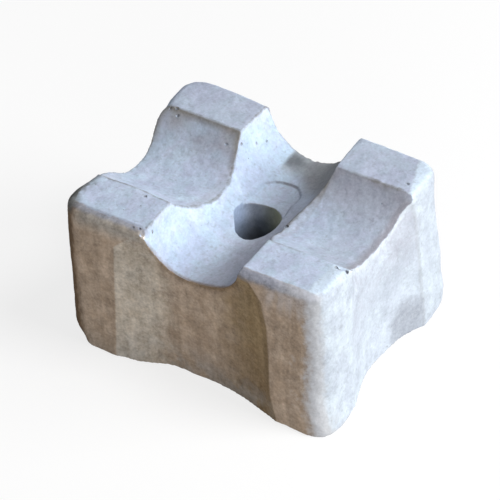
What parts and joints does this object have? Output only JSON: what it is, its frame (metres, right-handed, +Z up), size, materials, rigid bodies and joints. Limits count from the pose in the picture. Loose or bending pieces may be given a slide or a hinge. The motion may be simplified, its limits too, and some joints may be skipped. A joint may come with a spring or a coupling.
{
  "type": "concrete spacer block",
  "caption": "Solid cast concrete spacer block that carries crossing reinforcement bars in round saddles above a flat base, with scooped sides and an upright hole through the middle.",
  "frame": {"origin": "middle of the flat base, on the floor", "axes": "+Z up; X along the longer side, the way a bar in the shallow saddle lies; Y the way a bar in the deep saddle lies, +Y towards the end where the sunk pad runs"},
  "size_m": [0.0866, 0.0706, 0.0485],
  "materials": {
    "concrete": "matte cast concrete with fine pores"
  },
  "bodies": {
    "root": {"concrete_block": "concrete"}
  },
  "joints": []
}
